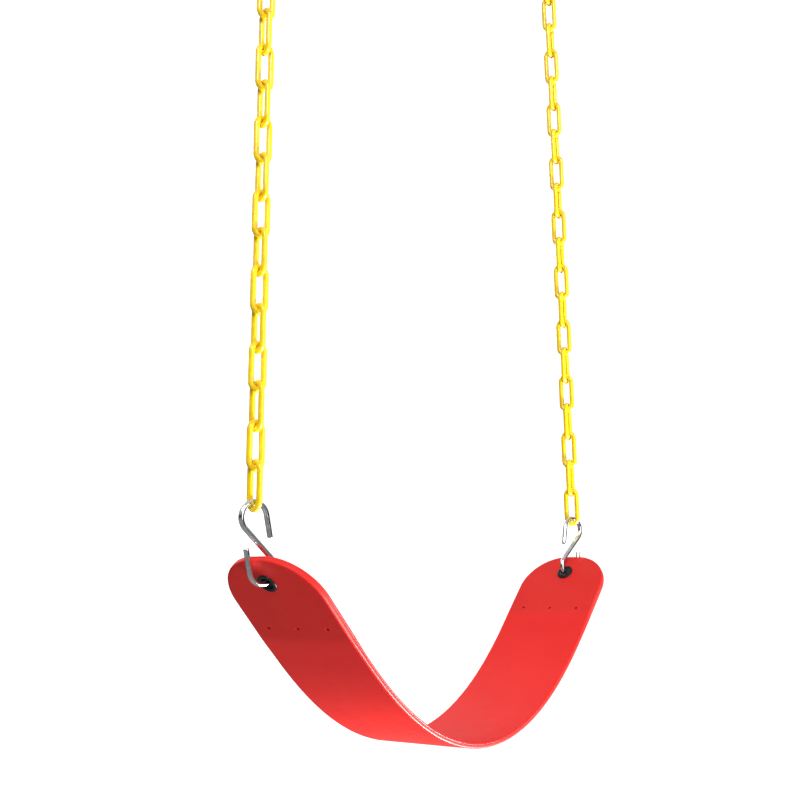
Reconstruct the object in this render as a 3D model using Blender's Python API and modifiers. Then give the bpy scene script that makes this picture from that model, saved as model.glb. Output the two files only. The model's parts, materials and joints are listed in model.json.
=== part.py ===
"""A belt swing seat: a moulded red belt that hangs on two yellow coated chains.

The seat is a flexible belt whose two ends are stiffened by a steel plate moulded inside. An eyelet in each end
takes an S-hook, the S-hook hangs on a chain of twenty links, and an S-hook at the top of each chain goes over
whatever the swing hangs from. X runs along the span from the left chain to the right one, Y across the seat and
Z up. The origin is midway between the two places where a hanger bears in the top hooks.
"""

import math

import bmesh
import bpy
import numpy as np
from mathutils import Matrix, Vector

GAP = 0.0003  # the clearance between two pieces that touch on the real object

# The belt, as it is moulded flat
BELT_LENGTH = 0.736
BELT_WIDTH = 0.118
CORNER_RADIUS = 0.052
END_THICKNESS = 0.008
MIDDLE_THICKNESS = 0.0064
THICKENING_START = 0.232  # from the middle of the belt, where it starts to thicken towards its ends
RIM_RADIUS = 0.0025

# How the belt hangs
END_SLOPE = math.radians(46.5)
STIFF_START = 0.270  # from the middle of the belt, where the stiff flat end starts
SAG_POWER = 1.65  # how much of the bending is near the lowest point

# The eyelet in each end, and the locating holes of the steel plate
EYELET_FROM_END = 0.0285
EYELET_BORE_RADIUS = 0.0066
EYELET_WALL = 0.0008
EYELET_FLANGE_RADIUS = 0.0105
EYELET_FLANGE_THICKNESS = 0.0012
EYELET_LIP_RADIUS = 0.0083
EYELET_LIP_THICKNESS = 0.0006
EYELET_MOUTH = 0.0016  # how far the bore opens out where it rolls into its flange and its lip
LOCATING_HOLES_FROM_END = 0.089
LOCATING_HOLE_SPACING = 0.038
LOCATING_HOLE_RADIUS = 0.0015

# The steel plate inside each end
PLATE_THICKNESS = 0.0016
PLATE_MARGIN = 0.009
PLATE_INNER_CORNER = 0.012
PLATE_HOLE_RADIUS = 0.0100

# The S-hooks
HOOK_WIRE_RADIUS = 0.0027
HOOK_HEIGHT = 0.083
HOOK_BEND_RADIUS = 0.0142
HOOK_TIP_HEIGHT = 0.002  # how far from the middle of the hook its two free ends stop
HOOK_LEAN = math.radians(13)  # the lower hooks lean outward, going up
HOOK_ANGLE_IN_EYELET = math.pi / 2 - END_SLOPE  # how far round its bend the eyelet is, from its lowest point
HOOK_PLAY_IN_EYELET = 0.0006

# The chains
LINK_COUNT = 20
LINK_WIRE_RADIUS = 0.0030
LINK_INNER_LENGTH = 0.038
LINK_WIDTH = 0.0205
LINK_PLAY_ON_HOOK = 0.0008
CHAIN_LEAN = math.radians(1.6)  # the springy belt spreads the chains, so they lean inward, going up

# How each side's hardware is turned about the vertical, and how far its chain twists from bottom to top
SIDES = {
    "left": {"sign": -1, "hook_turn": 12, "bottom_link_turn": 98, "twist": 14},
    "right": {"sign": 1, "hook_turn": 13, "bottom_link_turn": 81, "twist": 0},
}
TOP_HOOK_TURN = 90

# The fineness of the round shapes
BEND_STEPS = 6
HOOK_BEND_STEPS = 10
WIRE_RESOLUTION = 2
EYELET_STEPS = 20
CORNER_STEPS = 6
BELT_STEPS = 26
BELT_ROWS = 4

HALF_LENGTH = BELT_LENGTH / 2
EYELET_AT = HALF_LENGTH - EYELET_FROM_END
LINK_BEND_RADIUS = LINK_WIDTH / 2 - LINK_WIRE_RADIUS
LINK_HALF_HEIGHT = LINK_INNER_LENGTH / 2 + LINK_WIRE_RADIUS  # to the middle of the wire
LINK_STEP = LINK_INNER_LENGTH - GAP
HOOK_BEND_CENTRE = HOOK_HEIGHT / 2 - HOOK_WIRE_RADIUS - HOOK_BEND_RADIUS  # from the middle of the hook
HOOK_HALF_HEIGHT = HOOK_BEND_CENTRE + HOOK_BEND_RADIUS
LINK_ON_HOOK = LINK_WIRE_RADIUS + HOOK_WIRE_RADIUS + LINK_PLAY_ON_HOOK

# Distances along a chain's line from the middle of its lower hook's upper bend
LOWEST_LINK = HOOK_BEND_RADIUS - LINK_ON_HOOK + LINK_HALF_HEIGHT
TOP_LINK = LOWEST_LINK + (LINK_COUNT - 1) * LINK_STEP
TOP_HOOK = TOP_LINK + LINK_HALF_HEIGHT - LINK_ON_HOOK + HOOK_HALF_HEIGHT
HANGING_PLACE = TOP_HOOK + HOOK_HALF_HEIGHT - HOOK_WIRE_RADIUS

MATERIALS = {
    "red_rubber": ((0.80, 0.022, 0.014), 0.42, 0.0),
    "black_eyelet": ((0.012, 0.012, 0.013), 0.35, 0.6),
    "bright_steel": ((0.78, 0.79, 0.80), 0.12, 1.0),
    "raw_steel": ((0.42, 0.43, 0.45), 0.38, 1.0),
    "yellow_coating": ((0.90, 0.56, 0.004), 0.25, 0.0),
}


def clear_scene():
    for old in list(bpy.data.objects):
        bpy.data.objects.remove(old, do_unlink=True)


def new_collection(name):
    collection = bpy.data.collections.new(name)
    bpy.context.scene.collection.children.link(collection)
    return collection


def make_material(name):
    colour, roughness, metallic = MATERIALS[name]
    material = bpy.data.materials.new(name)
    material.use_nodes = True
    shader = material.node_tree.nodes["Principled BSDF"]
    shader.inputs["Base Color"].default_value = (*colour, 1.0)
    shader.inputs["Roughness"].default_value = roughness
    shader.inputs["Metallic"].default_value = metallic
    material.diffuse_color = (*colour, 1.0)
    return material


def add_object(name, data, material, collection):
    made = bpy.data.objects.new(name, data)
    collection.objects.link(made)
    if material:
        made.data.materials.append(material)
    return made


def joint_empty(name, position, parent, collection):
    """A point on a joint's axis, which carries the pieces that turn about it."""
    empty = bpy.data.objects.new(name, None)
    empty.empty_display_size = 0.01
    collection.objects.link(empty)
    empty.location = position if parent is None else Vector(position) - world_place(parent)
    empty.parent = parent
    return empty


def world_place(empty):
    place = Vector(empty.location)
    while empty.parent:
        empty = empty.parent
        place = place + empty.location
    return place


def hang_on(piece, empty):
    """Parents a piece whose place is given in world coordinates."""
    piece.parent = empty
    piece.matrix_parent_inverse = Matrix.Translation(-world_place(empty))


def baked(source):
    """The object's mesh with its modifiers applied and the seams of its caps closed."""
    bpy.context.view_layer.update()
    graph = bpy.context.evaluated_depsgraph_get()
    mesh = bpy.data.meshes.new_from_object(source.evaluated_get(graph))
    shape = bmesh.new()
    shape.from_mesh(mesh)
    bmesh.ops.remove_doubles(shape, verts=shape.verts, dist=1e-6)
    shape.to_mesh(mesh)
    shape.free()
    return mesh


# ---------------------------------------------------------------- the line of the hanging belt


def slope_at(distance):
    """The belt's slope at a distance along it from its lowest point."""
    along = np.minimum(np.abs(distance) / STIFF_START, 1.0)
    return END_SLOPE * (1 - (1 - along) ** SAG_POWER)


def belt_line():
    """Distances along the belt's middle surface, and the place that each has in the hanging belt."""
    distance = np.append(np.linspace(0, STIFF_START, 1001), HALF_LENGTH)
    middle = (distance[1:] + distance[:-1]) / 2
    step = np.diff(distance)
    across = np.append(0, np.cumsum(np.cos(slope_at(middle)) * step))
    up = np.append(0, np.cumsum(np.sin(slope_at(middle)) * step)) + MIDDLE_THICKNESS / 2
    return distance, across, up


BELT_LINE = belt_line()


def hanging_height():
    """How far the lowest point of the belt is below the places where a hanger bears in the top hooks."""
    eyelet = np.interp(EYELET_AT, BELT_LINE[0], BELT_LINE[2])
    wire_at_eyelet = eyelet + HOOK_PLAY_IN_EYELET * math.sin(END_SLOPE)
    lower_bend = wire_at_eyelet + HOOK_BEND_RADIUS * math.cos(HOOK_ANGLE_IN_EYELET)
    upper_bend = lower_bend + 2 * HOOK_BEND_CENTRE * math.cos(HOOK_LEAN)
    return upper_bend + HANGING_PLACE * math.cos(CHAIN_LEAN)


HANGING_HEIGHT = hanging_height()


def hanging_place(flat):
    """Where a point of the flat belt goes when the belt hangs."""
    distance, across, up = BELT_LINE
    side = math.copysign(1, flat.x)
    slope = float(slope_at(flat.x))
    x = np.interp(abs(flat.x), distance, across) - flat.z * math.sin(slope)
    z = np.interp(abs(flat.x), distance, up) + flat.z * math.cos(slope) - HANGING_HEIGHT
    return Vector((side * x, flat.y, z))


def end_frame(side):
    """Takes the flat belt's coordinates to the world in one of the belt's flat ends."""
    lean = math.sin(END_SLOPE) * side
    turn = Matrix(
        (
            (math.cos(END_SLOPE), 0, -lean, 0),
            (0, 1, 0, 0),
            (lean, 0, math.cos(END_SLOPE), 0),
            (0, 0, 0, 1),
        )
    )
    at_start = Vector((side * STIFF_START, 0, 0))
    return Matrix.Translation(hanging_place(at_start) - turn @ at_start) @ turn


def eyelet_place(side):
    return end_frame(side) @ Vector((side * EYELET_AT, 0, 0))


# ---------------------------------------------------------------- the seat


def belt_columns():
    """Where the flat belt is divided along its length, with the half width that it has there."""
    straight = HALF_LENGTH - CORNER_RADIUS
    half = [(distance, BELT_WIDTH / 2) for distance in np.linspace(0, STIFF_START, BELT_STEPS // 2 + 1)]
    half.append(((STIFF_START + straight) / 2, BELT_WIDTH / 2))
    for step in range(CORNER_STEPS + 1):
        angle = math.pi / 2 * step / CORNER_STEPS
        inset = CORNER_RADIUS * (1 - math.cos(angle))
        half.append((straight + CORNER_RADIUS * math.sin(angle), BELT_WIDTH / 2 - inset))
    return [(-distance, width) for distance, width in reversed(half[1:])] + half


def thickness_at(distance):
    share = (abs(distance) - THICKENING_START) / (STIFF_START - THICKENING_START)
    share = min(max(share, 0.0), 1.0)
    return MIDDLE_THICKNESS + (END_THICKNESS - MIDDLE_THICKNESS) * share * share * (3 - 2 * share)


def flat_belt():
    """The belt as moulded, before its holes: flat, with round ends and a rounded rim."""
    columns = belt_columns()
    shape = bmesh.new()
    bmesh.ops.create_grid(shape, x_segments=len(columns) - 1, y_segments=BELT_ROWS, size=0.5)
    for vertex in shape.verts:
        distance, half_width = columns[round((vertex.co.x + 0.5) * (len(columns) - 1))]
        vertex.co = (distance, 2 * vertex.co.y * half_width, -END_THICKNESS / 2)
    raised = bmesh.ops.extrude_face_region(shape, geom=shape.faces[:])["geom"]
    top = [item for item in raised if isinstance(item, bmesh.types.BMVert)]
    bmesh.ops.translate(shape, verts=top, vec=(0, 0, END_THICKNESS))
    bmesh.ops.recalc_face_normals(shape, faces=shape.faces)
    rim = [edge for edge in shape.edges if edge.calc_face_angle() > math.radians(60)]
    bmesh.ops.bevel(shape, geom=rim, offset=RIM_RADIUS, segments=2, profile=0.5, affect="EDGES")
    for vertex in shape.verts:
        vertex.co.z *= thickness_at(vertex.co.x) / END_THICKNESS
    mesh = bpy.data.meshes.new("flat_belt")
    shape.to_mesh(mesh)
    shape.free()
    return mesh


def arc_points(centre, radius, start, end, steps):
    """Points on an arc, both ends included, with the angles in degrees."""
    angles = np.radians(np.linspace(start, end, steps + 1))
    return [(centre[0] + radius * math.cos(angle), centre[1] + radius * math.sin(angle)) for angle in angles]


def outline_curve(name, outlines, thickness):
    """A flat plate from closed outlines: the first is its edge, and any others are holes."""
    curve = bpy.data.curves.new(name, "CURVE")
    curve.dimensions = "2D"
    curve.fill_mode = "BOTH"
    curve.extrude = thickness / 2
    for outline in outlines:
        spline = curve.splines.new("POLY")
        spline.points.add(len(outline) - 1)
        for point, (x, y) in zip(spline.points, outline):
            point.co = (x, y, 0, 1)
        spline.use_cyclic_u = True
    return curve


def stiffener_outlines(side, growth):
    """The steel plate's edge and its hole for the eyelet, in flat belt coordinates."""
    outer_corner = CORNER_RADIUS - PLATE_MARGIN + growth
    inner_corner = PLATE_INNER_CORNER + growth
    outer = HALF_LENGTH - PLATE_MARGIN + growth - outer_corner
    inner = STIFF_START + PLATE_MARGIN / 2 - growth + inner_corner
    half_width = BELT_WIDTH / 2 - PLATE_MARGIN + growth
    edge = arc_points((outer, half_width - outer_corner), outer_corner, 90, 0, CORNER_STEPS)
    edge += arc_points((outer, outer_corner - half_width), outer_corner, 0, -90, CORNER_STEPS)
    edge += arc_points((inner, inner_corner - half_width), inner_corner, -90, -180, 4)
    edge += arc_points((inner, half_width - inner_corner), inner_corner, 180, 90, 4)
    hole = arc_points((EYELET_AT, 0), PLATE_HOLE_RADIUS - growth, 0, 360, 24)[:-1]
    return [[(side * x, y) for x, y in outline] for outline in (edge, hole)]


def cutter_mesh(name, mesh, collection):
    cutter = add_object(name, mesh, None, collection)
    cutter.hide_render = True
    cutter.display_type = "WIRE"
    return cutter


def round_cutter(name, x, y, radius, low, high, sides, collection):
    shape = bmesh.new()
    bmesh.ops.create_cone(
        shape, cap_ends=True, segments=sides, radius1=radius, radius2=radius, depth=high - low
    )
    bmesh.ops.translate(shape, verts=shape.verts, vec=(x, y, (low + high) / 2))
    mesh = bpy.data.meshes.new(name)
    shape.to_mesh(mesh)
    shape.free()
    return cutter_mesh(name, mesh, collection)


def belt_cutters(name, side, collection):
    """The recess that holds one end's steel plate, the holes that lead to it and the eyelet's hole."""
    recess = outline_curve(name + "_recess", stiffener_outlines(side, GAP), PLATE_THICKNESS + 2 * GAP)
    recess_object = bpy.data.objects.new(name + "_recess_curve", recess)
    collection.objects.link(recess_object)
    cutters = [cutter_mesh(name + "_recess", baked(recess_object), collection)]
    bpy.data.objects.remove(recess_object)
    past = END_THICKNESS
    radius = EYELET_BORE_RADIUS + EYELET_WALL + GAP
    cutters.append(round_cutter(name + "_bore", side * EYELET_AT, 0, radius, -past, past, 24, collection))
    for row in (-1, 0, 1):
        x = side * (HALF_LENGTH - LOCATING_HOLES_FROM_END)
        y = row * LOCATING_HOLE_SPACING
        label = f"{name}_locating_{row + 2}"
        cutters.append(round_cutter(label, x, y, LOCATING_HOLE_RADIUS, -past, past, 10, collection))
    return cutters


def make_belt(material, collection, cutter_collection):
    flat = add_object("flat_belt", flat_belt(), None, collection)
    for name, side in SIDES.items():
        for cutter in belt_cutters(name, side["sign"], cutter_collection):
            cut = flat.modifiers.new(cutter.name, "BOOLEAN")
            cut.operation = "DIFFERENCE"
            cut.solver = "EXACT"
            cut.object = cutter
    mesh = baked(flat)
    bpy.data.objects.remove(flat)
    for vertex in mesh.vertices:
        vertex.co = hanging_place(vertex.co)
    return add_object("seat_belt", mesh, material, collection)


def make_stiffener(name, side, material, collection):
    curve = outline_curve(name + "_end_plate", stiffener_outlines(side, 0), PLATE_THICKNESS)
    plate = add_object(name + "_end_plate", curve, material, collection)
    plate.matrix_world = end_frame(side)
    return plate


def turned(name, profile, material, collection):
    """A piece turned about its own Z axis from a closed profile of (radius, height)."""
    mesh = bpy.data.meshes.new(name)
    edges = [(index, (index + 1) % len(profile)) for index in range(len(profile))]
    mesh.from_pydata([(radius, 0, height) for radius, height in profile], edges, [])
    made = add_object(name, mesh, material, collection)
    screw = made.modifiers.new("turn", "SCREW")
    screw.axis = "Z"
    screw.steps = EYELET_STEPS
    screw.render_steps = EYELET_STEPS
    screw.use_merge_vertices = True
    screw.merge_threshold = 0.00001
    screw.use_normal_flip = True
    return made


def make_eyelet(name, side, material, collection):
    """The flanged eyelet: its flange on the belt's outer face, its lip rolled over the washer inside."""
    face = END_THICKNESS / 2 + GAP
    bore = EYELET_BORE_RADIUS
    barrel = bore + EYELET_WALL
    flange_low = -face - EYELET_FLANGE_THICKNESS
    lip_low = face + EYELET_FLANGE_THICKNESS + GAP
    lip_high = lip_low + EYELET_LIP_THICKNESS
    rounding = EYELET_FLANGE_THICKNESS / 2
    mouth = EYELET_MOUTH
    profile = [
        (bore, flange_low + 1.25 * mouth),
        (bore + 0.2 * mouth, flange_low + 0.5 * mouth),
        (bore + 0.5 * mouth, flange_low + 0.15 * mouth),
        (bore + mouth, flange_low),
        (EYELET_FLANGE_RADIUS - rounding, flange_low),
        (EYELET_FLANGE_RADIUS, flange_low + rounding),
        (EYELET_FLANGE_RADIUS, -face),
        (barrel, -face),
        (barrel, lip_low),
        (EYELET_LIP_RADIUS, lip_low),
        (EYELET_LIP_RADIUS, lip_low + EYELET_LIP_THICKNESS / 2),
        (bore + 0.8 * mouth, lip_high),
        (bore + 0.5 * mouth, lip_high - 0.15 * mouth),
        (bore + 0.2 * mouth, lip_high - 0.5 * mouth),
        (bore, lip_high - 1.25 * mouth),
    ]
    eyelet = turned(name + "_eyelet", profile, material, collection)
    washer_low = END_THICKNESS / 2 + GAP
    washer_high = washer_low + EYELET_FLANGE_THICKNESS
    washer_profile = [
        (barrel + GAP, washer_low),
        (EYELET_FLANGE_RADIUS, washer_low),
        (EYELET_FLANGE_RADIUS, washer_high - rounding),
        (EYELET_FLANGE_RADIUS - rounding, washer_high),
        (barrel + GAP, washer_high),
    ]
    washer = turned(name + "_eyelet_washer", washer_profile, material, collection)
    place = end_frame(side) @ Matrix.Translation((side * EYELET_AT, 0, 0))
    for piece in (eyelet, washer):
        piece.matrix_world = place
    return eyelet, washer


# ---------------------------------------------------------------- the wire pieces


def wire_curve(name, points, radius, closed):
    """A bent wire from its middle line, given as (across, up) in its own plane."""
    curve = bpy.data.curves.new(name, "CURVE")
    curve.dimensions = "3D"
    curve.bevel_depth = radius
    curve.bevel_resolution = WIRE_RESOLUTION
    curve.use_fill_caps = not closed
    spline = curve.splines.new("POLY")
    spline.points.add(len(points) - 1)
    for point, (across, up) in zip(spline.points, points):
        point.co = (across, 0, up, 1)
    spline.use_cyclic_u = closed
    return curve


def hook_points():
    """The middle line of an S-hook: its upper free end is at -across, its lower one at +across."""
    tangent = math.degrees(math.asin(HOOK_BEND_RADIUS / HOOK_BEND_CENTRE))
    upper = [(-HOOK_BEND_RADIUS, HOOK_TIP_HEIGHT)]
    upper += arc_points((0, HOOK_BEND_CENTRE), HOOK_BEND_RADIUS, 180, -tangent, HOOK_BEND_STEPS)
    lower = [(-across, -up) for across, up in reversed(upper)]
    return upper + lower


def link_points():
    """The middle line of a link, centred on its own middle."""
    centre = LINK_HALF_HEIGHT - LINK_BEND_RADIUS
    top = arc_points((0, centre), LINK_BEND_RADIUS, 0, 180, BEND_STEPS)
    bottom = arc_points((0, -centre), LINK_BEND_RADIUS, 180, 360, BEND_STEPS)
    return top + bottom


def leaning(lean):
    """The upward direction of a piece that leans towards +X by this angle."""
    return Vector((math.sin(lean), 0, math.cos(lean)))


def place_wire(piece, position, turn, lean, empty):
    """Puts a wire piece in place, turned clockwise about its own upright by so many degrees and then leaned."""
    piece.location = position
    piece.rotation_mode = "ZYX"
    piece.rotation_euler = (0, lean, -math.radians(turn))
    hang_on(piece, empty)


def spans_x(turn):
    """Whether a piece turned by so many degrees lies nearer to the plane of the span than across it."""
    return abs(math.cos(math.radians(turn))) > math.sqrt(0.5)


def hook_bends(side):
    """The middles of the lower hook's two bends."""
    sign = side["sign"]
    wire_at_eyelet = eyelet_place(sign) + HOOK_PLAY_IN_EYELET * leaning(sign * HOOK_ANGLE_IN_EYELET)
    to_bend = leaning(sign * HOOK_ANGLE_IN_EYELET)
    to_bend.x *= math.cos(math.radians(side["hook_turn"]))
    lower_bend = wire_at_eyelet + HOOK_BEND_RADIUS * to_bend
    return lower_bend, lower_bend + 2 * HOOK_BEND_CENTRE * leaning(sign * HOOK_LEAN)


def make_side(name, side, materials, collection):
    """One side's chain and hooks, from the top down. It gives the empty that the lower hook turns with."""
    lower_bend, upper_bend = hook_bends(side)
    lean = -side["sign"] * CHAIN_LEAN
    chain_way = leaning(lean)

    top_empty = joint_empty(name + "_hanger", upper_bend + TOP_HOOK * chain_way, None, collection)
    top_hook = wire_curve(name + "_top_hook", hook_points(), HOOK_WIRE_RADIUS, False)
    top_hook = add_object(name + "_top_hook", top_hook, materials["bright_steel"], collection)
    place_wire(top_hook, upper_bend + TOP_HOOK * chain_way, TOP_HOOK_TURN, lean, top_empty)

    # Where one wire hangs in another, the joint's axis is in the middle of the wire that runs along X.
    empty = top_empty
    upper_turn = TOP_HOOK_TURN
    upper_wire = TOP_HOOK - HOOK_HALF_HEIGHT
    for number in range(1, LINK_COUNT + 1):
        label = f"{name}_link_{number:02d}"
        above_lowest = LINK_COUNT - number
        turn = side["bottom_link_turn"] + above_lowest * (90 + side["twist"] / (LINK_COUNT - 1))
        middle = LOWEST_LINK + above_lowest * LINK_STEP
        axis = upper_wire if spans_x(upper_turn) else middle + LINK_HALF_HEIGHT
        empty = joint_empty(label + "_joint", upper_bend + axis * chain_way, empty, collection)
        curve = wire_curve(label, link_points(), LINK_WIRE_RADIUS, True)
        link = add_object(label, curve, materials["yellow_coating"], collection)
        place_wire(link, upper_bend + middle * chain_way, turn, lean, empty)
        upper_turn = turn
        upper_wire = middle - LINK_HALF_HEIGHT

    axis = upper_wire if spans_x(upper_turn) else HOOK_BEND_RADIUS
    empty = joint_empty(name + "_s_hook_joint", upper_bend + axis * chain_way, empty, collection)
    curve = wire_curve(name + "_s_hook", hook_points(), HOOK_WIRE_RADIUS, False)
    hook = add_object(name + "_s_hook", curve, materials["bright_steel"], collection)
    outboard = 0 if side["sign"] > 0 else 180
    turn = side["hook_turn"] + outboard
    place_wire(hook, (lower_bend + upper_bend) / 2, turn, side["sign"] * HOOK_LEAN, empty)
    return empty


def main():
    clear_scene()
    collection = new_collection("belt_swing_seat")
    cutters = new_collection("cutters")
    materials = {name: make_material(name) for name in MATERIALS}
    hook_joints = {name: make_side(name, side, materials, collection) for name, side in SIDES.items()}
    seat_joint = joint_empty("seat_joint", eyelet_place(-1), hook_joints["left"], collection)
    seat = [make_belt(materials["red_rubber"], collection, cutters)]
    for name, side in SIDES.items():
        seat.append(make_stiffener(name, side["sign"], materials["raw_steel"], collection))
        seat += make_eyelet(name, side["sign"], materials["black_eyelet"], collection)
    for piece in seat:
        hang_on(piece, seat_joint)


main()
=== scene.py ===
"""The looks of a belt swing seat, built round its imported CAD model.

A moulded red belt hangs by bright steel S-hooks on two yellow dip-coated chains. X runs along the span,
Y across the seat and Z up, in metres. The fine pieces start from the CAD model's own sizes. The locating holes
are a little wider here, and the rim's groove and the coating's unevenness are only here.
"""

import json
import math

import bmesh
import bpy
import numpy as np
from mathutils import Euler, Matrix, Vector

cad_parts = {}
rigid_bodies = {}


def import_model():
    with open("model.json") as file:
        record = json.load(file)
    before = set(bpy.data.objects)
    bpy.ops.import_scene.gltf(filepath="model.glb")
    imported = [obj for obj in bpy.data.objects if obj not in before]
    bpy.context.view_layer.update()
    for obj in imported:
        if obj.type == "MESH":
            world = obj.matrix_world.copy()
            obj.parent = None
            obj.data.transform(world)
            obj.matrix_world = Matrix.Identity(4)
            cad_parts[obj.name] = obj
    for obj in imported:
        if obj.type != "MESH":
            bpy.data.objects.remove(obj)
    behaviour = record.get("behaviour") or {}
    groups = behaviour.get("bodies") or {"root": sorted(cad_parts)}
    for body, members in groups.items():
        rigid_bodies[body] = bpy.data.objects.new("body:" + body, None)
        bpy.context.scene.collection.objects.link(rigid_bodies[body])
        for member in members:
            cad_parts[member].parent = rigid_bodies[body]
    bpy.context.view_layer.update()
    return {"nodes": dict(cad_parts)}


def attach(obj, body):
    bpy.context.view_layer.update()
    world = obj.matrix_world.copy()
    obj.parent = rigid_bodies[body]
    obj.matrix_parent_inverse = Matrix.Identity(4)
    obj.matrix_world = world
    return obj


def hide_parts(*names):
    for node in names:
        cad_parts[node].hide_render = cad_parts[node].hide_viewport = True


GAP = 0.0003  # the clearance between two pieces that touch on the real object

# The belt, as it is moulded flat
BELT_LENGTH = 0.736
BELT_WIDTH = 0.118
CORNER_RADIUS = 0.052
END_THICKNESS = 0.008
MIDDLE_THICKNESS = 0.0064
THICKENING_START = 0.232
RIM_RADIUS = 0.0022
RIM_GROOVE = 0.00035  # how deep the moulded line is that runs round the rim
RIM_GROOVE_AT = 0.0010  # how far above the middle of the rim it is
RIM_GROOVE_HALF_WIDTH = 0.0005
RIM_BELOW_GROOVE = -0.0006  # a height on the rim that is below the groove

# How the belt hangs
END_SLOPE = math.radians(46.5)
STIFF_START = 0.270
SAG_POWER = 1.65

# The eyelets and the locating holes
EYELET_FROM_END = 0.0285
EYELET_BORE_RADIUS = 0.0066
EYELET_WALL = 0.0008
EYELET_FLANGE_RADIUS = 0.0105
EYELET_FLANGE_THICKNESS = 0.0012
EYELET_LIP_RADIUS = 0.0083
EYELET_LIP_THICKNESS = 0.0006
EYELET_MOUTH = 0.0016
LOCATING_HOLES_FROM_END = 0.089
LOCATING_HOLE_SPACING = 0.038
LOCATING_HOLE_RADIUS = 0.0018
HOLE_ROUNDING = 0.0004
CUTTER_REACH = 0.002  # how far a hole's cutter stands out of the belt

# The S-hooks
HOOK_WIRE_RADIUS = 0.0027
HOOK_HEIGHT = 0.083
HOOK_BEND_RADIUS = 0.0142
HOOK_TIP_HEIGHT = 0.002
HOOK_TIP_ROUNDING = 0.0005
HOOK_LEAN = math.radians(13)
HOOK_ANGLE_IN_EYELET = math.pi / 2 - END_SLOPE
HOOK_PLAY_IN_EYELET = 0.0006

# The chains
LINK_COUNT = 20
LINK_WIRE_RADIUS = 0.0030
LINK_INNER_LENGTH = 0.038
LINK_WIDTH = 0.0205
LINK_PLAY_ON_HOOK = 0.0008
CHAIN_LEAN = math.radians(1.6)
COATING_RIPPLE = 0.00007  # how uneven the dipped coating is
COATING_DRIP = 0.00025  # how far it has run down to each link's lower bend
COATING_THINNING = 0.6  # how many ripples thinner the coating is on the whole
DRIP_START = 0.8  # where the drip starts, as a share of the way from a link's middle to its lower end
DRIP_SHARE = 0.2  # how much further on it has its full depth

SIDES = {
    "left": {"sign": -1, "hook_turn": 12, "bottom_link_turn": 98, "twist": 14, "seed": 0},
    "right": {"sign": 1, "hook_turn": 13, "bottom_link_turn": 81, "twist": 0, "seed": 100},
}
TOP_HOOK_TURN = 90

# The fineness of the round shapes
RIM_STEPS = 6
LINK_STEPS = 28
HOOK_STEPS = 44
WIRE_SIDES = 20
TURNED_STEPS = 72
EDGE_STEPS = 180
CORNER_STEPS = 36
END_STEPS = 6
FACE_RINGS = 14
CUTTER_SIDES = 40
HOOK_TIP_STEPS = 11
HOOK_SLANT_STEPS = 10
HOOK_ROUND_STEPS = 3
LINK_STRAIGHT_STEPS = 13
COATING_WAVES = 6

# The camera
CAMERA_PLACE = (-1.1229, -0.8049, -0.8873)
CAMERA_HEADING = math.radians(52.55)  # from +Y towards +X
CAMERA_PITCH = math.radians(7.95)
CAMERA_ROLL = math.radians(-0.73)
CAMERA_LENS = 55.04
SENSOR_WIDTH = 36.0

# The studio
FLOOR_HEIGHT = -1.9
FLOOR_RADIUS = 3.2
FLOOR_RINGS = (0.3, 0.6, 0.85, 1.0)
WALL_HEIGHT = 4.2
WALL_CURVE = 1.6
WALL_CURVE_STEPS = 16
FLOOR_STEPS = 96
SEAT_MIDDLE = (0, 0, -0.98)
LAMPS = {  # where each lamp is, what it faces, its width and its power in watts
    "key": ((-2.1, -1.3, 0.9), SEAT_MIDDLE, 1.3, 60),
    "from_below": ((0.45, -0.75, -1.85), (-0.1, 0, -0.98), 1.0, 150),
    "front": ((-0.3, -2.4, -0.5), (0, 0, -0.8), 1.2, 14),
    "behind": ((1.2, 2.4, 0.2), SEAT_MIDDLE, 1.2, 14),
}
SKY_LEVELS = ((0.0, 0.42), (0.40, 0.30), (0.49, 0.05), (0.56, 0.08), (0.66, 0.55), (1.0, 0.80))
SKY_STRENGTH = 0.8

HALF_LENGTH = BELT_LENGTH / 2
HALF_WIDTH = BELT_WIDTH / 2
EYELET_AT = HALF_LENGTH - EYELET_FROM_END
LINK_BEND_RADIUS = LINK_WIDTH / 2 - LINK_WIRE_RADIUS
LINK_HALF_HEIGHT = LINK_INNER_LENGTH / 2 + LINK_WIRE_RADIUS
LINK_STEP = LINK_INNER_LENGTH - GAP
HOOK_BEND_CENTRE = HOOK_HEIGHT / 2 - HOOK_WIRE_RADIUS - HOOK_BEND_RADIUS
HOOK_HALF_HEIGHT = HOOK_BEND_CENTRE + HOOK_BEND_RADIUS
LINK_ON_HOOK = LINK_WIRE_RADIUS + HOOK_WIRE_RADIUS + LINK_PLAY_ON_HOOK
LOWEST_LINK = HOOK_BEND_RADIUS - LINK_ON_HOOK + LINK_HALF_HEIGHT
TOP_LINK = LOWEST_LINK + (LINK_COUNT - 1) * LINK_STEP
TOP_HOOK = TOP_LINK + LINK_HALF_HEIGHT - LINK_ON_HOOK + HOOK_HALF_HEIGHT
HANGING_PLACE = TOP_HOOK + HOOK_HALF_HEIGHT - HOOK_WIRE_RADIUS


# ---------------------------------------------------------------- camera, light and surroundings


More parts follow.
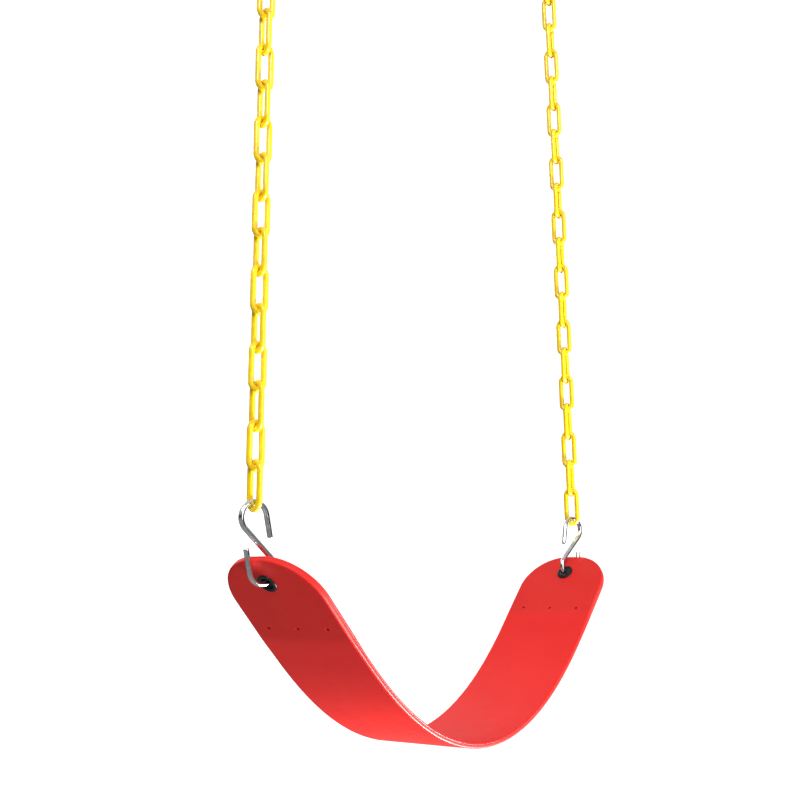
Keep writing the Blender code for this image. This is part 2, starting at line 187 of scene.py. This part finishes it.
def make_camera():
    forward = Vector(
        (
            math.sin(CAMERA_HEADING) * math.cos(CAMERA_PITCH),
            math.cos(CAMERA_HEADING) * math.cos(CAMERA_PITCH),
            math.sin(CAMERA_PITCH),
        )
    )
    level = Vector((math.cos(CAMERA_HEADING), -math.sin(CAMERA_HEADING), 0))
    upright = level.cross(forward)
    right = level * math.cos(CAMERA_ROLL) + upright * math.sin(CAMERA_ROLL)
    up = upright * math.cos(CAMERA_ROLL) - level * math.sin(CAMERA_ROLL)
    data = bpy.data.cameras.new("camera")
    data.lens = CAMERA_LENS
    data.sensor_width = SENSOR_WIDTH
    data.clip_start = 0.05
    data.clip_end = 60
    camera = bpy.data.objects.new("camera", data)
    bpy.context.scene.collection.objects.link(camera)
    turn = Matrix((right, up, -forward)).transposed().to_4x4()
    camera.matrix_world = Matrix.Translation(CAMERA_PLACE) @ turn
    bpy.context.scene.camera = camera


def make_light(name, place, target, size, power):
    data = bpy.data.lights.new(name, "AREA")
    data.shape = "DISK"
    data.size = size
    data.energy = power
    light = bpy.data.objects.new(name, data)
    bpy.context.scene.collection.objects.link(light)
    light.visible_camera = False
    light.location = place
    light.rotation_euler = (Vector(target) - Vector(place)).to_track_quat("-Z", "Y").to_euler()


def make_surroundings():
    """A pale floor that curves up into a pale wall all round, four soft lamps and a banded grey sky."""
    profile = [(0.001, FLOOR_HEIGHT)]
    profile += [(FLOOR_RADIUS * share, FLOOR_HEIGHT) for share in FLOOR_RINGS]
    for step in range(1, WALL_CURVE_STEPS + 1):
        angle = math.pi / 2 * step / WALL_CURVE_STEPS
        across = FLOOR_RADIUS + WALL_CURVE * math.sin(angle)
        profile.append((across, FLOOR_HEIGHT + WALL_CURVE * (1 - math.cos(angle))))
    profile.append((FLOOR_RADIUS + WALL_CURVE, FLOOR_HEIGHT + WALL_HEIGHT))
    points = []
    for radius, height in profile:
        for step in range(FLOOR_STEPS):
            angle = 2 * math.pi * step / FLOOR_STEPS
            points.append((radius * math.cos(angle), radius * math.sin(angle), height))
    mesh = mesh_of("studio_floor", points, ring_faces(len(profile), FLOOR_STEPS, False))
    mesh.polygons.foreach_set("use_smooth", [True] * len(mesh.polygons))
    floor = bpy.data.objects.new("studio_floor", mesh)
    bpy.context.scene.collection.objects.link(floor)
    mesh.materials.append(studio_paint())

    # The floor is only a white ground for the pictures: the lamps and the sky light the swing.
    floor.visible_diffuse = False
    floor.visible_glossy = False
    make_sky()
    for name, (place, target, size, power) in LAMPS.items():
        make_light(name, place, target, size, power)


def make_sky():
    """Grey light from all round, with a dark band at the horizon for the steel to mirror."""
    world = bpy.data.worlds.new("studio")
    bpy.context.scene.world = world
    world.use_nodes = True
    tree = world.node_tree
    place = tree.nodes.new("ShaderNodeTexCoord")
    separate = tree.nodes.new("ShaderNodeSeparateXYZ")
    tree.links.new(place.outputs["Generated"], separate.inputs["Vector"])
    height = tree.nodes.new("ShaderNodeMapRange")
    height.inputs["From Min"].default_value = -1.0
    tree.links.new(separate.outputs["Z"], height.inputs["Value"])
    ramp = tree.nodes.new("ShaderNodeValToRGB")
    tree.links.new(height.outputs["Result"], ramp.inputs["Fac"])
    for at, _ in SKY_LEVELS[1:-1]:
        ramp.color_ramp.elements.new(at)
    for element, (at, level) in zip(ramp.color_ramp.elements, SKY_LEVELS):
        element.position = at
        element.color = (level, level, level, 1.0)
    sky = tree.nodes["Background"]
    tree.links.new(ramp.outputs["Color"], sky.inputs["Color"])
    sky.inputs["Strength"].default_value = SKY_STRENGTH


# ---------------------------------------------------------------- materials


class Paint:
    """A node material built up from noise in the piece's own coordinates."""

    def __init__(self, name, metallic=0.0):
        self.material = bpy.data.materials.new(name)
        self.material.use_nodes = True
        self.tree = self.material.node_tree
        self.shader = self.tree.nodes["Principled BSDF"]
        self.shader.inputs["Metallic"].default_value = metallic
        self.place = self.tree.nodes.new("ShaderNodeTexCoord").outputs["Object"]
        self.normal = None

    def link(self, start, end):
        self.tree.links.new(start, end)

    def noise(self, scale, detail=3.0, stretch=None, distortion=0.0):
        """Noise with that many features to a metre, stretched along an axis where stretch is given."""
        place = self.place
        if stretch:
            mapping = self.tree.nodes.new("ShaderNodeMapping")
            mapping.inputs["Scale"].default_value = stretch
            self.link(place, mapping.inputs["Vector"])
            place = mapping.outputs["Vector"]
        node = self.tree.nodes.new("ShaderNodeTexNoise")
        node.inputs["Scale"].default_value = scale
        node.inputs["Detail"].default_value = detail
        node.inputs["Distortion"].default_value = distortion
        self.link(place, node.inputs["Vector"])
        return node.outputs["Fac"]

    def spread(self, value, low, high, start=0.3, end=0.7, smooth=False):
        """Takes a value between start and end to the range from low to high."""
        node = self.tree.nodes.new("ShaderNodeMapRange")
        node.interpolation_type = "SMOOTHSTEP" if smooth else "LINEAR"
        node.inputs["From Min"].default_value = start
        node.inputs["From Max"].default_value = end
        node.inputs["To Min"].default_value = low
        node.inputs["To Max"].default_value = high
        self.link(value, node.inputs["Value"])
        return node.outputs["Result"]

    def blend(self, share, low, high):
        """Mixes two colours, each given as numbers or as another node's output."""
        node = self.tree.nodes.new("ShaderNodeMix")
        node.data_type = "RGBA"
        self.link(share, node.inputs["Factor"])
        for socket, colour in ((node.inputs["A"], low), (node.inputs["B"], high)):
            if isinstance(colour, tuple):
                socket.default_value = (*colour, 1.0)
            else:
                self.link(colour, socket)
        return node.outputs["Result"]

    def maths(self, operation, first, second=None):
        node = self.tree.nodes.new("ShaderNodeMath")
        node.operation = operation
        for socket, value in zip(node.inputs, (first, second)):
            if isinstance(value, (int, float)):
                socket.default_value = value
            elif value is not None:
                self.link(value, socket)
        return node.outputs["Value"]

    def bump(self, height, depth):
        """Adds unevenness of that depth in metres."""
        node = self.tree.nodes.new("ShaderNodeBump")
        node.inputs["Strength"].default_value = 1.0
        node.inputs["Distance"].default_value = depth
        self.link(height, node.inputs["Height"])
        if self.normal:
            self.link(self.normal, node.inputs["Normal"])
        self.normal = node.outputs["Normal"]
        self.link(self.normal, self.shader.inputs["Normal"])

    def colour(self, value):
        self.link(value, self.shader.inputs["Base Color"])

    def roughness(self, value):
        self.link(value, self.shader.inputs["Roughness"])


def studio_paint():
    paint = Paint("studio_paint")
    paint.colour(paint.blend(paint.noise(1.5, 2), (0.74, 0.74, 0.74), (0.77, 0.77, 0.77)))
    paint.roughness(paint.spread(paint.noise(3.0, 2), 0.85, 0.95))
    paint.shader.inputs["Specular IOR Level"].default_value = 0.1
    paint.shader.inputs["Emission Color"].default_value = (1.0, 1.0, 1.0, 1.0)
    paint.shader.inputs["Emission Strength"].default_value = 0.9
    return paint.material


def red_rubber():
    """Moulded red: satin, a little cloudy, with a fine grain, a rougher skin over the stiff ends and painted
    shade that darkens the red there.
    """
    paint = Paint("red_rubber")
    separate = paint.tree.nodes.new("ShaderNodeSeparateXYZ")
    paint.link(paint.place, separate.inputs["Vector"])
    from_middle = paint.maths("ABSOLUTE", separate.outputs["X"])
    stiff_x = abs(hanging_place(Vector((STIFF_START, 0, 0))).x)
    stiff = paint.spread(from_middle, 0.0, 1.0, stiff_x - 0.006, stiff_x + 0.003, smooth=True)
    body = paint.blend(paint.spread(paint.noise(9, 4), 0.0, 1.0), (0.80, 0.012, 0.010), (0.88, 0.018, 0.013))
    # The darker red over the stiff ends is painted shade for the slanted flat ends. The rougher skin set below
    # is their real finish.
    painted_shade_ends = paint.blend(paint.spread(paint.noise(14, 4), 0.0, 1.0), (0.72, 0.014, 0.011), (0.77, 0.018, 0.013))
    paint.colour(paint.blend(stiff, body, painted_shade_ends))
    cloud = paint.spread(paint.noise(60, 5), -0.04, 0.05)
    level = paint.spread(stiff, 0.40, 0.50, 0.0, 1.0)
    paint.roughness(paint.maths("ADD", cloud, level))
    paint.bump(paint.noise(160, 3), 0.00006)
    paint.bump(paint.noise(2600, 2), 0.000012)
    paint.shader.inputs["Specular IOR Level"].default_value = 0.32
    return paint.material


def yellow_coating():
    """Thick dipped yellow: glossy, with deeper orange where the coating is thick and tiny pits."""
    paint = Paint("yellow_coating")
    body = paint.blend(paint.spread(paint.noise(120, 3), 0.0, 1.0), (0.86, 0.56, 0.004), (0.93, 0.66, 0.010))
    deep = paint.spread(paint.noise(45, 2, distortion=0.6), 0.0, 0.55, 0.52, 0.75)
    paint.colour(paint.blend(deep, body, (0.80, 0.40, 0.002)))
    paint.roughness(paint.spread(paint.noise(260, 3), 0.16, 0.30))
    paint.bump(paint.noise(240, 3), 0.00018)
    paint.bump(paint.noise(1800, 2), 0.00002)
    paint.shader.inputs["Coat Weight"].default_value = 0.35
    paint.shader.inputs["Coat Roughness"].default_value = 0.10
    return paint.material


def bright_steel():
    """Bright plated wire with fine draw marks and a few dull spots."""
    paint = Paint("bright_steel", metallic=1.0)
    cloud = paint.spread(paint.noise(140, 4), 0.0, 1.0)
    paint.colour(paint.blend(cloud, (0.66, 0.67, 0.69), (0.90, 0.90, 0.91)))
    paint.roughness(paint.spread(paint.noise(420, 4), 0.06, 0.20, 0.35, 0.75))
    paint.bump(paint.noise(700, 3), 0.00003)
    return paint.material


def black_enamel():
    """Black satin enamel, worn a little thin in specks."""
    paint = Paint("black_enamel", metallic=0.35)
    specks = paint.spread(paint.noise(900, 3), 0.0, 1.0, 0.66, 0.74)
    paint.colour(paint.blend(specks, (0.014, 0.014, 0.015), (0.09, 0.09, 0.095)))
    paint.roughness(paint.spread(paint.noise(320, 3), 0.26, 0.42))
    paint.bump(paint.noise(1100, 2), 0.00002)
    return paint.material


def sheet_steel():
    """Plain zinc-plated sheet with rolling marks along it."""
    paint = Paint("sheet_steel", metallic=1.0)
    marks = paint.noise(90, 4, stretch=(1.0, 18.0, 1.0))
    paint.colour(paint.blend(paint.spread(marks, 0.0, 1.0), (0.40, 0.41, 0.43), (0.58, 0.59, 0.61)))
    paint.roughness(paint.spread(paint.noise(60, 4), 0.30, 0.48))
    paint.bump(marks, 0.00002)
    return paint.material


# ---------------------------------------------------------------- the line of the hanging belt


def slope_at(distance):
    """The belt's slope at a distance along it from its lowest point."""
    along = np.minimum(np.abs(distance) / STIFF_START, 1.0)
    return END_SLOPE * (1 - (1 - along) ** SAG_POWER)


def belt_line():
    """Distances along the belt's middle surface, and the place that each has in the hanging belt."""
    distance = np.append(np.linspace(0, STIFF_START, 1001), HALF_LENGTH)
    middle = (distance[1:] + distance[:-1]) / 2
    step = np.diff(distance)
    across = np.append(0, np.cumsum(np.cos(slope_at(middle)) * step))
    up = np.append(0, np.cumsum(np.sin(slope_at(middle)) * step)) + MIDDLE_THICKNESS / 2
    return distance, across, up


BELT_LINE = belt_line()


def hanging_height():
    """How far the lowest point of the belt is below the places where a hanger bears in the top hooks."""
    eyelet = np.interp(EYELET_AT, BELT_LINE[0], BELT_LINE[2])
    wire_at_eyelet = eyelet + HOOK_PLAY_IN_EYELET * math.sin(END_SLOPE)
    lower_bend = wire_at_eyelet + HOOK_BEND_RADIUS * math.cos(HOOK_ANGLE_IN_EYELET)
    upper_bend = lower_bend + 2 * HOOK_BEND_CENTRE * math.cos(HOOK_LEAN)
    return upper_bend + HANGING_PLACE * math.cos(CHAIN_LEAN)


HANGING_HEIGHT = hanging_height()


def hanging_place(flat):
    """Where a point of the flat belt goes when the belt hangs."""
    distance, across, up = BELT_LINE
    side = math.copysign(1, flat.x)
    slope = float(slope_at(flat.x))
    x = np.interp(abs(flat.x), distance, across) - flat.z * math.sin(slope)
    z = np.interp(abs(flat.x), distance, up) + flat.z * math.cos(slope) - HANGING_HEIGHT
    return Vector((side * x, flat.y, z))


def end_frame(side):
    """Takes the flat belt's coordinates to the world in one of the belt's flat ends."""
    lean = math.sin(END_SLOPE) * side
    turn = Matrix(
        (
            (math.cos(END_SLOPE), 0, -lean, 0),
            (0, 1, 0, 0),
            (lean, 0, math.cos(END_SLOPE), 0),
            (0, 0, 0, 1),
        )
    )
    at_start = Vector((side * STIFF_START, 0, 0))
    return Matrix.Translation(hanging_place(at_start) - turn @ at_start) @ turn


# ---------------------------------------------------------------- mesh helpers


def mesh_of(name, points, faces):
    mesh = bpy.data.meshes.new(name)
    mesh.from_pydata([tuple(point) for point in points], [], faces)
    return mesh


def smooth_mesh(mesh, sharp_over=35):
    """Smooth shading, with the edges over that angle in degrees kept crisp."""
    shape = bmesh.new()
    shape.from_mesh(mesh)
    bmesh.ops.remove_doubles(shape, verts=shape.verts, dist=1e-7)
    bmesh.ops.recalc_face_normals(shape, faces=shape.faces)
    for face in shape.faces:
        face.smooth = True
    for edge in shape.edges:
        edge.smooth = edge.is_manifold and edge.calc_face_angle(0) < math.radians(sharp_over)
    shape.to_mesh(mesh)
    shape.free()


def add_piece(name, mesh, material, body, node):
    """Puts a fine piece in place of its CAD node, on the CAD body that the node rides on."""
    piece = bpy.data.objects.new(name, mesh)
    bpy.context.scene.collection.objects.link(piece)
    mesh.materials.clear()
    mesh.materials.append(material)
    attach(piece, body)
    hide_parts(node)
    return piece


def ring_faces(rings, around, closed):
    """Quads between neighbouring rings of points, and back to the first ring where closed."""
    faces = []
    for ring in range(rings if closed else rings - 1):
        after = (ring + 1) % rings
        for step in range(around):
            turn = (step + 1) % around
            here, there = ring * around, after * around
            faces.append((here + step, here + turn, there + turn, there + step))
    return faces


def turned_mesh(name, profile, place):
    """A piece turned about its own Z axis from a closed profile of (radius, height)."""
    points = []
    for radius, height in profile:
        for step in range(TURNED_STEPS):
            angle = 2 * math.pi * step / TURNED_STEPS
            points.append(place @ Vector((radius * math.cos(angle), radius * math.sin(angle), height)))
    mesh = mesh_of(name, points, ring_faces(len(profile), TURNED_STEPS, True))
    smooth_mesh(mesh)
    return mesh


def rounded(start, corner, end, steps=5):
    """Points on a smooth bend from start to end that heads for the corner."""
    points = []
    for step in range(steps + 1):
        share = step / steps
        points.append(
            tuple(
                (1 - share) ** 2 * a + 2 * share * (1 - share) * b + share**2 * c
                for a, b, c in zip(start, corner, end)
            )
        )
    return points


def arc_points(centre, radius, start, end, steps):
    """Points on an arc, both ends included, with the angles in degrees."""
    angles = np.radians(np.linspace(start, end, steps + 1))
    return [(centre[0] + radius * math.cos(angle), centre[1] + radius * math.sin(angle)) for angle in angles]


# ---------------------------------------------------------------- the belt


def thickness_at(distance):
    share = (abs(distance) - THICKENING_START) / (STIFF_START - THICKENING_START)
    share = min(max(share, 0.0), 1.0)
    return MIDDLE_THICKNESS + (END_THICKNESS - MIDDLE_THICKNESS) * share * share * (3 - 2 * share)


def belt_outline():
    """The flat belt's edge, with the outward direction at each point, all the way round."""
    straight = HALF_LENGTH - CORNER_RADIUS
    side_y = HALF_WIDTH - CORNER_RADIUS
    outline = []
    for x in np.linspace(-straight, straight, EDGE_STEPS + 1)[1:-1]:
        outline.append((x, -HALF_WIDTH, 0, -1))
    corners = ((1, -1, -90), (1, 1, 0), (-1, 1, 90), (-1, -1, 180))
    for sign_x, sign_y, start in corners:
        for angle in np.radians(np.linspace(start, start + 90, CORNER_STEPS + 1)):
            across, along = math.cos(angle), math.sin(angle)
            x = sign_x * straight + CORNER_RADIUS * across
            outline.append((x, sign_y * side_y + CORNER_RADIUS * along, across, along))
        if (sign_x, sign_y) == (1, 1):
            for x in np.linspace(straight, -straight, EDGE_STEPS + 1)[1:-1]:
                outline.append((x, HALF_WIDTH, 0, 1))
        elif sign_y == -sign_x:
            for y in np.linspace(sign_y * side_y, -sign_y * side_y, END_STEPS + 1)[1:-1]:
                outline.append((sign_x * HALF_LENGTH, y, sign_x, 0))
    return outline


def rim_profile():
    """From the top face to the bottom: how far in from the edge, and how high in half thicknesses."""
    radius = RIM_RADIUS
    tall = END_THICKNESS / 2
    bend = []
    for step in range(RIM_STEPS + 1):
        angle = math.pi / 2 * step / RIM_STEPS
        bend.append((radius * (1 - math.sin(angle)), tall - radius * (1 - math.cos(angle))))
    profile = list(bend)
    for share, depth in ((1.0, 0.0), (0.6, 0.45), (0.0, 1.0), (-0.6, 0.45), (-1.0, 0.0)):
        profile.append((RIM_GROOVE * depth, RIM_GROOVE_AT + share * RIM_GROOVE_HALF_WIDTH))
    profile.append((0.0, RIM_BELOW_GROOVE))
    profile += [(inset, -height) for inset, height in reversed(bend)]
    return [(inset, height / tall) for inset, height in profile]


def flat_belt():
    """The belt before its holes, as rings of points from the top face's middle over the rim."""
    outline = belt_outline()
    rim = rim_profile()
    middle_x = HALF_LENGTH - HALF_WIDTH
    start_inset = rim[0][0]
    points = []

    def point(x, y, out_x, out_y, inset, height):
        at_x = x - out_x * inset
        return Vector((at_x, y - out_y * inset, height * thickness_at(at_x) / 2))

    def face_ring(share, height):
        ring = []
        for x, y, out_x, out_y in outline:
            edge = point(x, y, out_x, out_y, start_inset, height)
            target = Vector((min(max(edge.x, -middle_x), middle_x), 0, 0))
            at = target.lerp(edge, share)
            at.z = height * thickness_at(at.x) / 2
            ring.append(at)
        return ring

    for step in range(FACE_RINGS):
        points += face_ring(step / FACE_RINGS, 1.0)
    for inset, height in rim:
        points += [point(*edge, inset, height) for edge in outline]
    for step in reversed(range(FACE_RINGS)):
        points += face_ring(step / FACE_RINGS, -1.0)
    count = 2 * FACE_RINGS + len(rim)
    mesh = mesh_of("flat_belt", points, ring_faces(count, len(outline), False))
    shape = bmesh.new()
    shape.from_mesh(mesh)
    bmesh.ops.remove_doubles(shape, verts=shape.verts, dist=1e-6)
    bmesh.ops.dissolve_degenerate(shape, edges=shape.edges, dist=1e-7)
    bmesh.ops.recalc_face_normals(shape, faces=shape.faces)
    shape.to_mesh(mesh)
    shape.free()
    return mesh


def hole_cutter(name, x, y, radius):
    """A pin with rounded shoulders at the belt's faces, so the hole that it cuts has rounded edges."""
    face = END_THICKNESS / 2
    past = face + CUTTER_REACH
    wide = radius + HOLE_ROUNDING
    upper = [(wide, past), (wide, face)]
    upper += [
        (radius + HOLE_ROUNDING * (1 - math.sin(angle)), face - HOLE_ROUNDING * (1 - math.cos(angle)))
        for angle in np.radians((22.5, 45, 67.5, 90))
    ]
    profile = upper + [(across, -height) for across, height in reversed(upper)]
    points = []
    for across, height in profile:
        for step in range(CUTTER_SIDES):
            angle = 2 * math.pi * step / CUTTER_SIDES
            points.append((x + across * math.cos(angle), y + across * math.sin(angle), height))
    faces = ring_faces(len(profile), CUTTER_SIDES, False)
    faces.append(tuple(range(CUTTER_SIDES)))
    faces.append(tuple(len(points) - CUTTER_SIDES + step for step in reversed(range(CUTTER_SIDES))))
    mesh = mesh_of(name, points, faces)
    shape = bmesh.new()
    shape.from_mesh(mesh)
    bmesh.ops.recalc_face_normals(shape, faces=shape.faces)
    shape.to_mesh(mesh)
    shape.free()
    cutter = bpy.data.objects.new(name, mesh)
    bpy.context.scene.collection.objects.link(cutter)
    return cutter


def make_belt(material):
    flat = bpy.data.objects.new("flat_belt", flat_belt())
    bpy.context.scene.collection.objects.link(flat)
    cutters = []
    for name, side in SIDES.items():
        sign = side["sign"]
        bore = EYELET_BORE_RADIUS + EYELET_WALL + GAP
        cutters.append(hole_cutter(name + "_bore_cutter", sign * EYELET_AT, 0, bore))
        for row in (-1, 0, 1):
            x = sign * (HALF_LENGTH - LOCATING_HOLES_FROM_END)
            label = f"{name}_locating_cutter_{row + 2}"
            cutters.append(hole_cutter(label, x, row * LOCATING_HOLE_SPACING, LOCATING_HOLE_RADIUS))
    for cutter in cutters:
        cut = flat.modifiers.new(cutter.name, "BOOLEAN")
        cut.operation = "DIFFERENCE"
        cut.solver = "EXACT"
        cut.object = cutter
    bpy.context.view_layer.update()
    graph = bpy.context.evaluated_depsgraph_get()
    mesh = bpy.data.meshes.new_from_object(flat.evaluated_get(graph))
    for used in [flat, *cutters]:
        bpy.data.objects.remove(used)
    for vertex in mesh.vertices:
        vertex.co = hanging_place(vertex.co)
    mesh.name = "belt"
    smooth_mesh(mesh, 50)
    piece = add_piece("belt", mesh, material, "seat", "seat_belt")
    weighted = piece.modifiers.new("even_shading", "WEIGHTED_NORMAL")
    weighted.keep_sharp = True


# ---------------------------------------------------------------- the eyelets


def make_eyelet(name, side, material):
    face = END_THICKNESS / 2 + GAP
    bore = EYELET_BORE_RADIUS
    barrel = bore + EYELET_WALL
    outer = EYELET_FLANGE_RADIUS
    flange_low = -face - EYELET_FLANGE_THICKNESS
    lip_low = face + EYELET_FLANGE_THICKNESS + GAP
    lip_high = lip_low + EYELET_LIP_THICKNESS
    mouth = EYELET_MOUTH
    soft = 0.9 * EYELET_FLANGE_THICKNESS
    place = end_frame(side) @ Matrix.Translation((side * EYELET_AT, 0, 0))
    profile = rounded((bore, flange_low + 1.4 * mouth), (bore, flange_low), (bore + mouth, flange_low), 8)
    profile += rounded((outer - 1.5 * soft, flange_low), (outer, flange_low), (outer, flange_low + soft), 6)
    profile += [(outer, -face), (barrel, -face), (barrel, lip_low), (EYELET_LIP_RADIUS, lip_low)]
    lip_start = (EYELET_LIP_RADIUS, lip_low + 0.0001)
    profile += rounded(lip_start, (EYELET_LIP_RADIUS, lip_high), (bore + 0.8 * mouth, lip_high), 4)
    profile += rounded((bore + 0.7 * mouth, lip_high), (bore, lip_high), (bore, lip_high - 1.4 * mouth), 8)
    mesh = turned_mesh(name + "_eyelet_fine", profile, place)
    add_piece(name + "_eyelet_fine", mesh, material, "seat", name + "_eyelet")

    washer_high = face + EYELET_FLANGE_THICKNESS
    washer_profile = [(barrel + GAP, face), (outer, face)]
    washer_end = (outer - 1.2 * soft, washer_high)
    washer_profile += rounded((outer, washer_high - soft), (outer, washer_high), washer_end, 6)
    washer_profile += [(barrel + GAP, washer_high)]
    washer = turned_mesh(name + "_eyelet_washer_fine", washer_profile, place)
    add_piece(name + "_eyelet_washer_fine", washer, material, "seat", name + "_eyelet_washer")


# ---------------------------------------------------------------- the wire pieces


def place_of_wire(position, turn, lean):
    """The place of a wire piece that is turned clockwise by so many degrees and then leaned."""
    angles = Euler((0, lean, -math.radians(turn)), "ZYX")
    return Matrix.Translation(position) @ angles.to_matrix().to_4x4()


def leaning(lean):
    """The upward direction of a piece that leans towards +X by this angle."""
    return Vector((math.sin(lean), 0, math.cos(lean)))


def hook_points():
    """The middle line of an S-hook: its upper free end is at -across, its lower one at +across."""
    tangent = math.degrees(math.asin(HOOK_BEND_RADIUS / HOOK_BEND_CENTRE))
    heights = np.linspace(HOOK_TIP_HEIGHT, HOOK_BEND_CENTRE, HOOK_TIP_STEPS + 1)[:-1]
    upper = [(-HOOK_BEND_RADIUS, height) for height in heights]
    upper += arc_points((0, HOOK_BEND_CENTRE), HOOK_BEND_RADIUS, 180, -tangent, HOOK_STEPS)
    lower = [(-across, -up) for across, up in reversed(upper)]
    first, last = Vector(upper[-1]), Vector(lower[0])
    between = [tuple(first.lerp(last, step / HOOK_SLANT_STEPS)) for step in range(1, HOOK_SLANT_STEPS)]
    return upper + between + lower


def cap_rounds():
    """Each ring of a wire end's rounded edge: how far back it is, and how much thinner the wire is there."""
    rounds = []
    for step in range(HOOK_ROUND_STEPS + 1):
        angle = math.pi / 2 * step / HOOK_ROUND_STEPS
        back = HOOK_TIP_ROUNDING * (1 - math.cos(angle))
        rounds.append((back, HOOK_TIP_ROUNDING * (1 - math.sin(angle))))
    return rounds


def hook_mesh(name, place):
    """Bent wire of even thickness, its two cut ends dressed with a small round."""
    line = [Vector((across, 0, up)) for across, up in hook_points()]
    start = (line[0] - line[1]).normalized()
    end = (line[-1] - line[-2]).normalized()
    rings = [(line[0] - start * back, HOOK_WIRE_RADIUS - thin) for back, thin in cap_rounds()]
    rings += [(point, HOOK_WIRE_RADIUS) for point in line[1:-1]]
    rings += [(line[-1] - end * back, HOOK_WIRE_RADIUS - thin) for back, thin in reversed(cap_rounds())]
    middles = [ring[0] for ring in rings]
    points = []
    for index, (middle, radius) in enumerate(rings):
        before, after = middles[max(index - 1, 0)], middles[min(index + 1, len(middles) - 1)]
        along = (after - before).normalized()
        sideways = Vector((0, 1, 0))
        inward = sideways.cross(along)
        for step in range(WIRE_SIDES):
            angle = 2 * math.pi * step / WIRE_SIDES
            points.append(place @ (middle + radius * (math.cos(angle) * inward + math.sin(angle) * sideways)))
    faces = ring_faces(len(rings), WIRE_SIDES, False)
    faces.append(tuple(reversed(range(WIRE_SIDES))))
    faces.append(tuple(len(points) - WIRE_SIDES + step for step in range(WIRE_SIDES)))
    mesh = mesh_of(name, points, faces)
    smooth_mesh(mesh, 40)
    return mesh


def link_line():
    """The middle line of a link, with the outward direction at each point."""
    centre = LINK_HALF_HEIGHT - LINK_BEND_RADIUS
    line = []
    for sign, start in ((1, 0), (-1, 180)):
        for angle in np.radians(np.linspace(start, start + 180, LINK_STEPS + 1)):
            out = Vector((math.cos(angle), 0, math.sin(angle)))
            line.append((Vector((0, 0, sign * centre)) + LINK_BEND_RADIUS * out, out))
        for share in np.linspace(sign, -sign, LINK_STRAIGHT_STEPS + 1)[1:-1]:
            middle = Vector((-sign * LINK_BEND_RADIUS, 0, share * centre))
            line.append((middle, Vector((-sign, 0, 0))))
    return line


def link_mesh(name, place, seed):
    """A link whose dipped coating is a little uneven and has run down to its lower bend."""
    rng = np.random.default_rng(seed)
    line = link_line()
    count = len(line)
    waves = []
    for _ in range(COATING_WAVES):
        waves.append((int(rng.integers(1, 6)), int(rng.integers(0, 4)), rng.uniform(0, 2 * math.pi)))
    points = []
    for index, (middle, out) in enumerate(line):
        along = 2 * math.pi * index / count
        low = max(0.0, -middle.z / LINK_HALF_HEIGHT - DRIP_START) / DRIP_SHARE
        for step in range(WIRE_SIDES):
            angle = 2 * math.pi * step / WIRE_SIDES
            swell = sum(math.sin(many * along + around * angle + phase) for many, around, phase in waves)
            ripple = swell / len(waves)
            outside = max(0.0, math.cos(angle))
            radius = LINK_WIRE_RADIUS + COATING_RIPPLE * (ripple - COATING_THINNING)
            radius += COATING_DRIP * low * outside**2
            aside = math.cos(angle) * out + Vector((0, math.sin(angle), 0))
            points.append(place @ (middle + radius * aside))
    mesh = mesh_of(name, points, ring_faces(count, WIRE_SIDES, True))
    smooth_mesh(mesh, 60)
    return mesh


def make_side(name, side, coating, steel):
    """One side's hooks and chain."""
    sign = side["sign"]
    eyelet = end_frame(sign) @ Vector((sign * EYELET_AT, 0, 0))
    to_bend = leaning(sign * HOOK_ANGLE_IN_EYELET)
    wire_at_eyelet = eyelet + HOOK_PLAY_IN_EYELET * to_bend
    to_bend = Vector((to_bend.x * math.cos(math.radians(side["hook_turn"])), 0, to_bend.z))
    lower_bend = wire_at_eyelet + HOOK_BEND_RADIUS * to_bend
    upper_bend = lower_bend + 2 * HOOK_BEND_CENTRE * leaning(sign * HOOK_LEAN)
    lean = -sign * CHAIN_LEAN
    chain_way = leaning(lean)

    place = place_of_wire(upper_bend + TOP_HOOK * chain_way, TOP_HOOK_TURN, lean)
    mesh = hook_mesh(name + "_top_hook_fine", place)
    add_piece(name + "_top_hook_fine", mesh, steel, "hangers", name + "_top_hook")

    for number in range(1, LINK_COUNT + 1):
        label = f"{name}_link_{number:02d}"
        above_lowest = LINK_COUNT - number
        turn = side["bottom_link_turn"] + above_lowest * (90 + side["twist"] / (LINK_COUNT - 1))
        place = place_of_wire(upper_bend + (LOWEST_LINK + above_lowest * LINK_STEP) * chain_way, turn, lean)
        mesh = link_mesh(label + "_fine", place, side["seed"] + number)
        add_piece(label + "_fine", mesh, coating, label, label)

    outboard = 0 if sign > 0 else 180
    place = place_of_wire((lower_bend + upper_bend) / 2, side["hook_turn"] + outboard, sign * HOOK_LEAN)
    mesh = hook_mesh(name + "_s_hook_fine", place)
    add_piece(name + "_s_hook_fine", mesh, steel, name + "_s_hook", name + "_s_hook")


def repaint(node, material):
    """Gives a CAD node that is shown as it is its finish."""
    node.data.materials.clear()
    node.data.materials.append(material)


# ---------------------------------------------------------------- the scene

for old in list(bpy.data.objects):
    bpy.data.objects.remove(old)
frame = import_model()
make_camera()
bpy.context.scene.view_settings.view_transform = "Standard"
make_surroundings()
make_belt(red_rubber())
coating_paint = yellow_coating()
steel_paint = bright_steel()
enamel_paint = black_enamel()
sheet_paint = sheet_steel()
for side_name, side_facts in SIDES.items():
    make_side(side_name, side_facts, coating_paint, steel_paint)
    make_eyelet(side_name, side_facts["sign"], enamel_paint)
    repaint(frame["nodes"][side_name + "_end_plate"], sheet_paint)

bpy.context.view_layer.update()
